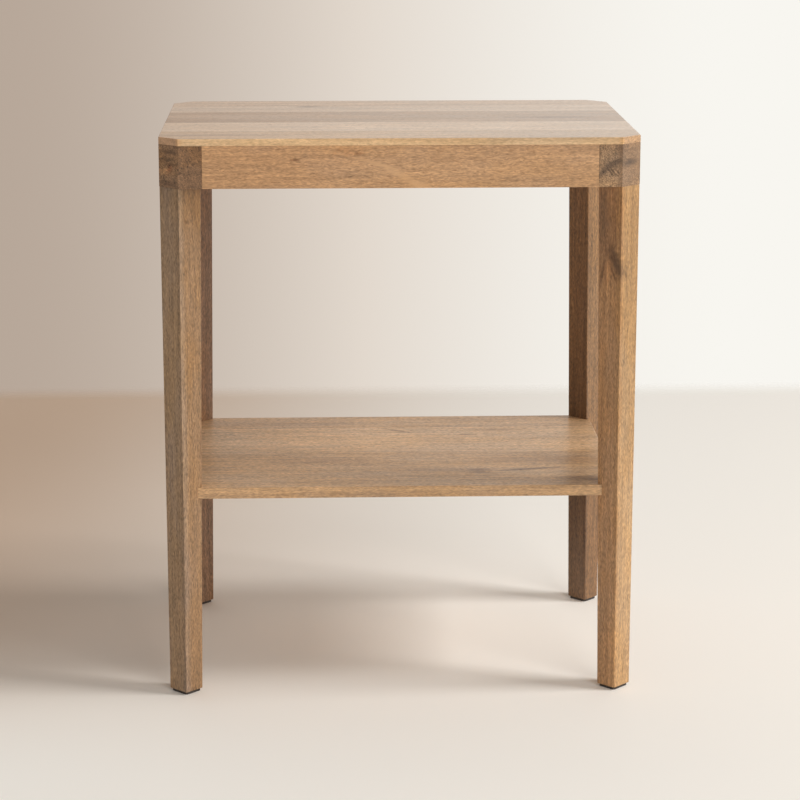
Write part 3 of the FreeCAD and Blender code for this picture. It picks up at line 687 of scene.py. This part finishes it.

# %% [markdown]
# ## The legs
# The legs stand turned by 45 degrees with upright grain, so two faces of each are seen at once. The front
# left one is greyish, the front right one honey with a dark knot that the grain flows round, and the two
# at the back are darker. A mark taller than the leg gives a face its own shade, and a shorter one shades
# one end of it. On the front right leg the two face marks are partly painted light and shade: its lit face
# is painted lighter and its shaded face darker. Painted shade also darkens the front legs just under their
# blocks and the lower inward face of the back right leg, under the shelf.

# %% Marks on the legs
FACE_REACH = (0.06, 0.010, 1.2)
LEFT_LEG_MARKS = [
    mark(at=(0.25, 0.25, 0.5), reach=FACE_REACH, turn=LEFT_FACE, tint=(1.06, 1.22, 1.58)),
    mark(at=(0.75, 0.25, 0.1), reach=(0.06, 0.010, 0.34), turn=RIGHT_FACE, tint=(0.85, 0.87, 0.97)),
    mark(at=(0.25, 0.25, 0.1), reach=(0.06, 0.010, 0.30), turn=LEFT_FACE, tint=(0.92, 0.90, 0.88)),
    mark(at=(0.66, 0.17, 0.935), reach=(0.006, 0.006, 0.0035), tint=(0.70, 0.66, 0.62), ragged=1.2),
    # Painted shade under the block: the top of the leg is darker.
    mark(at=(0.5, 0.5, 1.0), reach=(0.06, 0.06, 0.030), tint=(0.80, 0.80, 0.82), ragged=0.5),
]
KNOT_LEAN, RIGHT_ARM_LEAN, LEFT_ARM_LEAN = -0.45, -0.50, 0.20
RIGHT_LEG_MARKS = [
    # Partly painted shade: the shaded face of the leg is darker and warmer.
    mark(at=(0.25, 0.25, 0.5), reach=FACE_REACH, turn=LEFT_FACE, tint=(0.99, 0.90, 0.81)),
    mark(at=(0.385, 0.13, 0.856), reach=(0.0105, 0.02, 0.032), turn=(0, KNOT_LEAN, -EIGHTH),
         tint=(0.38, 0.36, 0.36), ragged=0.6),
    mark(at=(0.355, 0.145, 0.828), reach=(0.0028, 0.02, 0.018), turn=(0, RIGHT_ARM_LEAN, -EIGHTH),
         tint=(0.52, 0.48, 0.45), ragged=0.3),
    mark(at=(0.107, 0.393, 0.832), reach=(0.0032, 0.02, 0.024), turn=(0, LEFT_ARM_LEAN, -EIGHTH),
         tint=(0.50, 0.47, 0.44), ragged=0.3),
    mark(at=(0.21, 0.29, 0.835), reach=(0.0075, 0.02, 0.018), tint=(1.14, 1.08, 1.02), calm=0.3),
    # Partly painted light: the lit face of the leg is lighter.
    mark(at=(0.75, 0.25, 0.5), reach=FACE_REACH, turn=RIGHT_FACE, tint=(1.13, 1.15, 1.09)),
    mark(at=(0.75, 0.25, 0.85), reach=(0.06, 0.010, 0.36), turn=RIGHT_FACE, tint=(0.86, 0.84, 0.78)),
    mark(at=(0.10, 0.42, 0.93), reach=(0.010, 0.02, 0.050), tint=(0.78, 0.80, 0.84), ragged=1.0),
    # Painted shade under the block: the top of the leg is darker and warmer.
    mark(at=(0.20, 0.30, 0.93), reach=(0.030, 0.03, 0.080), tint=(0.78, 0.72, 0.66), ragged=0.8),
]
BACK_LEG_MARKS = [
    mark(at=(0.25, 0.25, 0.5), reach=FACE_REACH, turn=LEFT_FACE, tint=(0.73, 0.69, 0.67)),
    # Painted shade under the shelf: the lower inward face is much darker.
    mark(at=(0.25, 0.25, 0.1), reach=(0.06, 0.012, 0.35), turn=LEFT_FACE, tint=(0.24, 0.21, 0.25)),
    mark(at=(0.75, 0.25, 0.1), reach=(0.06, 0.010, 0.35), turn=RIGHT_FACE, tint=(0.77, 0.71, 0.67)),
]
print("marks on the front right leg:", len(RIGHT_LEG_MARKS))

# %% [markdown]
# The upper end of a leg is glued under its block, and below that all its edges are open to shoes and
# brooms.

# %% Legs
LEGS = {
    "front_left": {
        "wood": tone(151, 114, 74), "log_place": (25.0, 0.055, 0.070), "marks": LEFT_LEG_MARKS,
        "fine_share": 1.5,
    },
    "front_right": {
        "wood": tone(177, 137, 94), "log_place": (26.0, 0.040, 0.060), "marks": RIGHT_LEG_MARKS,
        "fine_share": 1.4, "band_width": 0.007, "band_share": 1.0,
    },
    "back_right": {
        "wood": tone(139, 103, 65), "log_place": (27.0, 0.060, 0.050), "marks": BACK_LEG_MARKS,
        "fine_share": 1.8, "grey_share": 0.15,
    },
    "back_left": {"wood": tone(128, 93, 64), "log_place": (28.0, 0.050, 0.060), "fine_share": 2.0},
}
leg_low, leg_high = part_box("leg_front_right")
leg_joint = all_above(leg_high.z - RIM)
for corner, look in LEGS.items():
    wood_material(f"leg_{corner}", "z", joints=leg_joint, **look)
print("legs:", len(LEGS), "of height in mm:", round(MM * (leg_high.z - leg_low.z)))

# %% [markdown]
# ## The shelf
# Four boards make the shelf, closer in colour than those of the top. A dark streak runs along the second
# board, and there is a dark patch by the right front leg. All four boards are painted lighter at the left
# end, as painted light.

# %% Marks on the shelf
# Painted light: a lighter pool over the left end of every shelf board.
PAINTED_LIGHT_LEFT_END = mark(at=(0.06, 0.5, 1.0), reach=(0.26, 0.2, 0.02), tint=(1.14, 1.13, 1.11))
STREAK_TURN, DASH_TURN = (0, 0, 0.21), (0, 0, -0.57)
SHELF_MARKS = {
    1: [mark(at=(0.5, 0.0, 0.5), reach=(2.0, 0.0030, 0.02), tint=(0.98, 0.97, 0.99), calm=0.35),
        mark(at=(0.93, 0.48, 1.0), reach=(0.050, 0.020, 0.003), tint=(0.50, 0.47, 0.45), ragged=0.9),
        mark(at=(0.687, 0.93, 1.0), reach=(0.018, 0.009, 0.02), tint=(0.60, 0.56, 0.55), ragged=0.7)],
    2: [mark(at=(0.687, 0.05, 1.0), reach=(0.018, 0.009, 0.02), tint=(0.60, 0.56, 0.55), ragged=0.7),
        mark(at=(0.805, 0.08, 1.0), reach=(0.060, 0.006, 0.02), turn=STREAK_TURN, tint=(0.46, 0.43, 0.41),
             ragged=0.4),
        mark(at=(0.70, 0.08, 1.0), reach=(0.14, 0.016, 0.02), tint=(0.84, 0.82, 0.82), ragged=0.6),
        mark(at=(0.86, 0.60, 1.0), reach=(0.15, 0.032, 0.02), tint=(0.82, 0.80, 0.80), ragged=0.6),
        mark(at=(0.33, 0.57, 1.0), reach=(0.10, 0.024, 0.02), tint=(0.84, 0.82, 0.82), ragged=0.8)],
    3: [mark(at=(0.51, 0.87, 1.0), reach=(0.032, 0.004, 0.02), turn=DASH_TURN, tint=(0.52, 0.49, 0.47),
             ragged=0.5),
        mark(at=(0.676, 0.69, 1.0), reach=(0.012, 0.004, 0.02), tint=(0.55, 0.50, 0.48), ragged=0.6),
        mark(at=(0.77, 0.87, 1.0), reach=(0.055, 0.009, 0.02), tint=(0.74, 0.72, 0.72), ragged=0.9)],
    4: [mark(at=(0.20, 0.4, 1.0), reach=(0.14, 0.03, 0.02), tint=(0.88, 0.87, 0.88), ragged=0.6)],
}
print("marks on the shelf:", sum(len(marks) for marks in SHELF_MARKS.values()))

# %% [markdown]
# The shelf's corners sit in the legs and nobody brushes past its short ends, so only its long edges are
# rubbed. The joints' box leaves those out.

# %% Shelf staves
SHELF_WOODS = {
    1: tone(186, 148, 105), 2: tone(180, 142, 100), 3: tone(195, 157, 115), 4: tone(184, 146, 105),
}
SHELF_LOG, SHELF_STEP = (5, -0.07, 0.09), (0.7, 0.045, 0)
shelf_low, shelf_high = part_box("shelf_stave_1")[0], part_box("shelf_stave_4")[1]
shelf_inside = (Vector((table_low.x, shelf_low.y + RIM, shelf_low.z)),
                Vector((table_high.x, shelf_high.y - RIM, shelf_high.z)))
for number, wood in SHELF_WOODS.items():
    wood_material(f"shelf_stave_{number}", "x", log_row(number, SHELF_LOG, SHELF_STEP), wood,
                  [PAINTED_LIGHT_LEFT_END, *SHELF_MARKS[number]], shelf_inside, oil=0.2, fine_share=1.8)
print("shelf staves:", len(SHELF_WOODS))

# %% [markdown]
# ## Bearers and dowels
# Under the thin top two bearers run from rail to rail, and dowels hold the frame together. Nobody oils
# what nobody sees: these are raw wood, paler and dull, so they take the same figure with no coat on it.

# %% Bearers and dowels
BEARER_WOOD, DOWEL_WOOD = tone(196, 160, 120), tone(214, 184, 146)
BEARER_LOG, DOWEL_LOG, RAW_STEP = (31, 0.06, 0.05), (35, 0.12, 0.05), (1, 0, 0)
BEARERS = ("top_bearer_left", "top_bearer_right")
DOWEL_GRAINS = {"rail_dowels": "x", "leg_dowels": "z", "bearer_dowels": "y", "shelf_dowels": "x"}
for number, piece in enumerate(BEARERS):
    wood_material(piece, "y", log_row(number, BEARER_LOG, RAW_STEP), BEARER_WOOD, oil=0.0)
for number, (piece, grain) in enumerate(DOWEL_GRAINS.items()):
    wood_material(piece, grain, log_row(number, DOWEL_LOG, RAW_STEP), DOWEL_WOOD, oil=0.0, band_share=0.3,
                  grey_share=0.2)
print("raw pieces:", len(BEARERS) + len(DOWEL_GRAINS))

# %% [markdown]
# ## The foot glides
# Each leg stands on a thin dark brown pad of hard plastic. Moulded plastic has a fine pebbled skin, and a
# pad that has been pushed over a floor is scuffed grey near its lower edge. Noise gives both, the scuffs
# fading upwards.

# %% Glide plastic
GLIDE_BROWN, SCUFF_GREY = tone(52, 43, 36), tone(92, 87, 82)
PEBBLE_SIZE, PEBBLE_HEIGHT, PEBBLE_RELIEF = 0.0006, 0.00008, 0.4
SCUFF_LENGTH, SCUFF_WIDTH = 0.004, 0.0008
SCUFF_LOW, SCUFF_HIGH = 0.45, 0.70
SCUFFED_ABOVE, SCUFFED_BELOW = 0.1, 0.9
SMOOTH_SKIN, ROUGH_SKIN = 0.2, 1.2
GLIDE_SMOOTH, GLIDE_ROUGH = 0.42, 0.75
glide_low, glide_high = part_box("foot_glide_front_left")


def make_glide_plastic():
    """Moulded plastic, pebbled all over and scuffed towards the floor."""
    plastic, tree, shader = new_material("glide_plastic_moulded")
    place = add_node(tree, "ShaderNodeTexCoord").outputs["Object"]
    height = add_node(tree, "ShaderNodeSeparateXYZ", {0: place}).outputs["Z"]
    scuffs = fade(tree, noise(tree, place, SCUFF_LENGTH, SCUFF_WIDTH)[0], SCUFF_LOW, SCUFF_HIGH)
    near_floor = fade(tree, height, glide_high.z, glide_low.z, SCUFFED_ABOVE, SCUFFED_BELOW)
    scuffs = calc(tree, "MULTIPLY", scuffs, near_floor)
    pebbles = noise(tree, place, PEBBLE_SIZE, PEBBLE_SIZE)[0]
    skin = calc(tree, "ADD", pebbles, scuffs)
    dull = fade(tree, skin, SMOOTH_SKIN, ROUGH_SKIN, GLIDE_SMOOTH, GLIDE_ROUGH)
    feed(tree, shader.inputs["Base Color"], blend(tree, scuffs, GLIDE_BROWN, SCUFF_GREY))
    feed(tree, shader.inputs["Roughness"], dull)
    feed(tree, shader.inputs["Normal"], bump(tree, pebbles, PEBBLE_RELIEF, PEBBLE_HEIGHT))
    return plastic


glide_plastic = make_glide_plastic()
for corner in LEGS:
    dress(f"foot_glide_{corner}", glide_plastic)
print("glides:", len(LEGS), "thick in mm:", round(MM * (glide_high.z - glide_low.z), 1))

# %% [markdown]
# ## Screws and nails
# Screws hold the top to its bearers and a nail holds each glide. They are zinc plated, a grey metal with
# a faint cloudy bloom and fine scratches from the driver. Metal shows its roughness more than its colour,
# so most of the work is in the roughness.

# %% Plated steel
ZINC_LIGHT, ZINC_DARK = tone(206, 206, 204), tone(172, 173, 174)
BLOOM_SIZE = 0.002
BLOOM_LOW, BLOOM_HIGH = 0.35, 0.65
SCRATCH_LENGTH, SCRATCH_WIDTH = 0.004, 0.0002
SCRATCH_DEPTH, SCRATCH_RELIEF = 0.00004, 0.25
CLEAN_ZINC, WORN_ZINC = 0.3, 1.4
ZINC_SMOOTH, ZINC_ROUGH = 0.28, 0.50


def make_plated_steel():
    """Zinc plating, cloudy and finely scratched."""
    steel, tree, shader = new_material("plated_steel")
    place = add_node(tree, "ShaderNodeTexCoord").outputs["Object"]
    bloom = fade(tree, noise(tree, place, BLOOM_SIZE, BLOOM_SIZE, ROUGH)[0], BLOOM_LOW, BLOOM_HIGH)
    scratches = noise(tree, place, SCRATCH_LENGTH, SCRATCH_WIDTH)[0]
    wear = calc(tree, "ADD", bloom, scratches)
    dull = fade(tree, wear, CLEAN_ZINC, WORN_ZINC, ZINC_SMOOTH, ZINC_ROUGH)
    feed(tree, shader.inputs["Metallic"], 1.0)
    feed(tree, shader.inputs["Base Color"], blend(tree, bloom, ZINC_LIGHT, ZINC_DARK))
    feed(tree, shader.inputs["Roughness"], dull)
    feed(tree, shader.inputs["Normal"], bump(tree, scratches, SCRATCH_RELIEF, SCRATCH_DEPTH))
    return steel


plated_steel = make_plated_steel()
for piece in ("bearer_screws", "glide_nails"):
    dress(piece, plated_steel)
print("steel nodes:", len(plated_steel.node_tree.nodes))

# %% [markdown]
# ## The floor
# The table stands on a pale studio floor. It is one big plane whose far edge fades away where the
# backdrop starts, so no hard line is left there. The plane isn't part of the table, and we say so with a
# backdrop property that the measure of the table skips.

# %% Floor
FLOOR_SIZE = 10.0
FLOOR_EDGE = 1.36
bpy.ops.object.select_all(action="DESELECT")
bpy.ops.mesh.primitive_plane_add(size=FLOOR_SIZE, location=(0, FLOOR_EDGE - FLOOR_SIZE / 2, 0))
bpy.ops.object.transform_apply(location=True)
floor = bpy.context.object
floor.name = "floor"
floor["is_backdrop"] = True
print("floor ends", FLOOR_EDGE, "m behind the middle of the table")

# %% [markdown]
# The paint is matt, and painted shade is in its colour. It is painted darker behind the table to the left,
# where a studio floor is away from its lamps and the table's shadows fall, and painted greyer close to the
# lamps, where the same paint would turn white.

# %% Floor paint
FLOOR_FADE = 1.25
TO_LEFT, TO_LAMPS = (-1.0, 0.2, 0.0), (1.0, -0.6, 0.0)
LEFT_START, LEFT_END = -0.2, 0.8
BACK_START, BACK_END = -0.45, 0.1
LAMP_START, LAMP_END = 0.9, 2.6
PAINT, PAINTED_LEFT_SHADE, PAINTED_SHADE_NEAR_LAMPS = tone(250, 245, 237), tone(207, 181, 158), tone(205, 200, 193)
PAINT_ROUGHNESS, PAINT_SHINE = 0.9, 0.05


def make_floor_paint():
    """Matt paint with painted shade that depends on the place on the floor."""
    paint, tree, shader = new_material("floor_paint")
    place = add_node(tree, "ShaderNodeTexCoord").outputs["Object"]
    depth = add_node(tree, "ShaderNodeSeparateXYZ", {0: place}).outputs["Y"]
    left = fade(tree, vector(tree, "DOT_PRODUCT", place, TO_LEFT, output="Value"), LEFT_START, LEFT_END)
    back_left = calc(tree, "MULTIPLY", left, fade(tree, depth, BACK_START, BACK_END))
    near_lamps = vector(tree, "DOT_PRODUCT", place, TO_LAMPS, output="Value")
    # Painted shade: darker towards the back left, and greyer near the lamps.
    colour = blend(tree, back_left, PAINT, PAINTED_LEFT_SHADE)
    colour = blend(tree, fade(tree, near_lamps, LAMP_START, LAMP_END), colour, PAINTED_SHADE_NEAR_LAMPS)
    feed(tree, shader.inputs["Base Color"], colour)
    feed(tree, shader.inputs["Alpha"], fade(tree, depth, FLOOR_EDGE, FLOOR_FADE))
    feed(tree, shader.inputs["Roughness"], PAINT_ROUGHNESS)
    feed(tree, shader.inputs["Specular IOR Level"], PAINT_SHINE)
    return paint


floor.data.materials.append(make_floor_paint())
print("floor fades over the last", round(FLOOR_EDGE - FLOOR_FADE, 2), "m")

# %% [markdown]
# ## The backdrop
# Behind the table hangs a lit backdrop, warm grey on the left and nearly white on the right. The camera
# and the shiny surfaces see its colour. The light that it sends on the table is a separate, weaker
# choice: brighter from behind, where the backdrop is, than from the dark side of the studio where we
# stand.

# %% World
WALL_LEFT, WALL_MIDDLE, WALL_RIGHT = tone(183, 167, 153), tone(226, 216, 205), tone(248, 246, 240)
WALL_START, WALL_END = -0.13, 0.17
HALF_WAY = 0.5
STUDIO_LIGHT = (1.0, 0.97, 0.93, 1.0)
FRONT_LEVEL, BACK_LEVEL = 0.22, 0.72
SIDEWAYS, BEHIND = 0.0, 0.8
scene = bpy.context.scene
scene.world = bpy.data.worlds.new("studio")
scene.world.use_nodes = True
tree = scene.world.node_tree
direction = add_node(tree, "ShaderNodeTexCoord").outputs["Generated"]
axes = add_node(tree, "ShaderNodeSeparateXYZ", {0: direction}).outputs
wall = add_node(tree, "ShaderNodeValToRGB", {0: fade(tree, axes["X"], WALL_START, WALL_END)})
wall.color_ramp.elements[0].color = WALL_LEFT
wall.color_ramp.elements[1].color = WALL_RIGHT
wall.color_ramp.elements.new(HALF_WAY).color = WALL_MIDDLE
light = times(tree, STUDIO_LIGHT, fade(tree, axes["Y"], SIDEWAYS, BEHIND, FRONT_LEVEL, BACK_LEVEL))
rays = add_node(tree, "ShaderNodeLightPath").outputs
seen = calc(tree, "MAXIMUM", rays["Is Camera Ray"], rays["Is Glossy Ray"])
seen = calc(tree, "MAXIMUM", seen, rays["Is Transmission Ray"])
feed(tree, tree.nodes["Background"].inputs["Color"], blend(tree, seen, light, wall.outputs[0]))
print("backdrop light from", FRONT_LEVEL, "in front to", BACK_LEVEL, "behind")

# %% [markdown]
# ## The lamps
# Two large soft lamps do the rest. The key stands on the right, about 40 degrees up, and draws the
# shadows on the floor to the left. A wider one stands in front, to the right, and lights the rail and the
# right hand faces of the legs, while their left hand faces stay in half shade. It is so wide that the
# oiled top, seen from behind, would be a mirror of it, so we keep this lamp out of reflections.

# %% Lamps
KEY_PLACE, KEY_AIM = (5.13, -0.95, 4.67), (0, 0, 0.30)
KEY_SIZE, KEY_POWER = 2.28, 286
FRONT_PLACE, FRONT_AIM = (5.32, -9.69, 3.77), (0, 0, 0.35)
FRONT_SIZE, FRONT_POWER = 6.84, 640


def soft_lamp(name, place, aim, size, power):
    """Square lamp of this size, looking at the point that it is aimed at."""
    lamp = bpy.data.lights.new(name, "AREA")
    lamp.size = size
    lamp.energy = power
    holder = bpy.data.objects.new(name, lamp)
    holder.location = place
    holder.rotation_euler = (Vector(aim) - Vector(place)).to_track_quat("-Z", "Y").to_euler()
    scene.collection.objects.link(holder)
    return holder


soft_lamp("key_lamp", KEY_PLACE, KEY_AIM, KEY_SIZE, KEY_POWER)
front_lamp = soft_lamp("front_lamp", FRONT_PLACE, FRONT_AIM, FRONT_SIZE, FRONT_POWER)
front_lamp.visible_glossy = False

# %% [markdown]
# ## The camera
# The photograph was taken from a little left of the middle, from above the top, with a long lens that
# keeps the legs nearly upright. A small shift puts the table in the middle of the frame.

# %% Camera
LENS, SENSOR, SHIFT = 113.5, 36, -0.06
EYE_PLACE = (-0.0925, -2.7974, 0.9395)
LOOK_DOWN, LOOK_RIGHT = 0.2096, 0.0349
camera = bpy.data.cameras.new("photo_camera")
camera.lens = LENS
camera.sensor_width = SENSOR
camera.shift_y = SHIFT
eye = bpy.data.objects.new("photo_camera", camera)
eye.location = EYE_PLACE
eye.rotation_euler = (QUARTER - LOOK_DOWN, 0, -LOOK_RIGHT)
scene.collection.objects.link(eye)
scene.camera = eye
scene.view_settings.view_transform = "Standard"
print("camera looks down by", round(math.degrees(LOOK_DOWN)), "degrees")

# %% [markdown]
# ## Sizes
# A finish must not change a size. We measure the dressed table once more and print how much each side grew.

# %% Sizes
visual_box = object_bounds()
growth = [round(MM * (new - old), 3) for new, old in zip(visual_box[1] - visual_box[0], table_size)]
print("growth in mm:", growth)
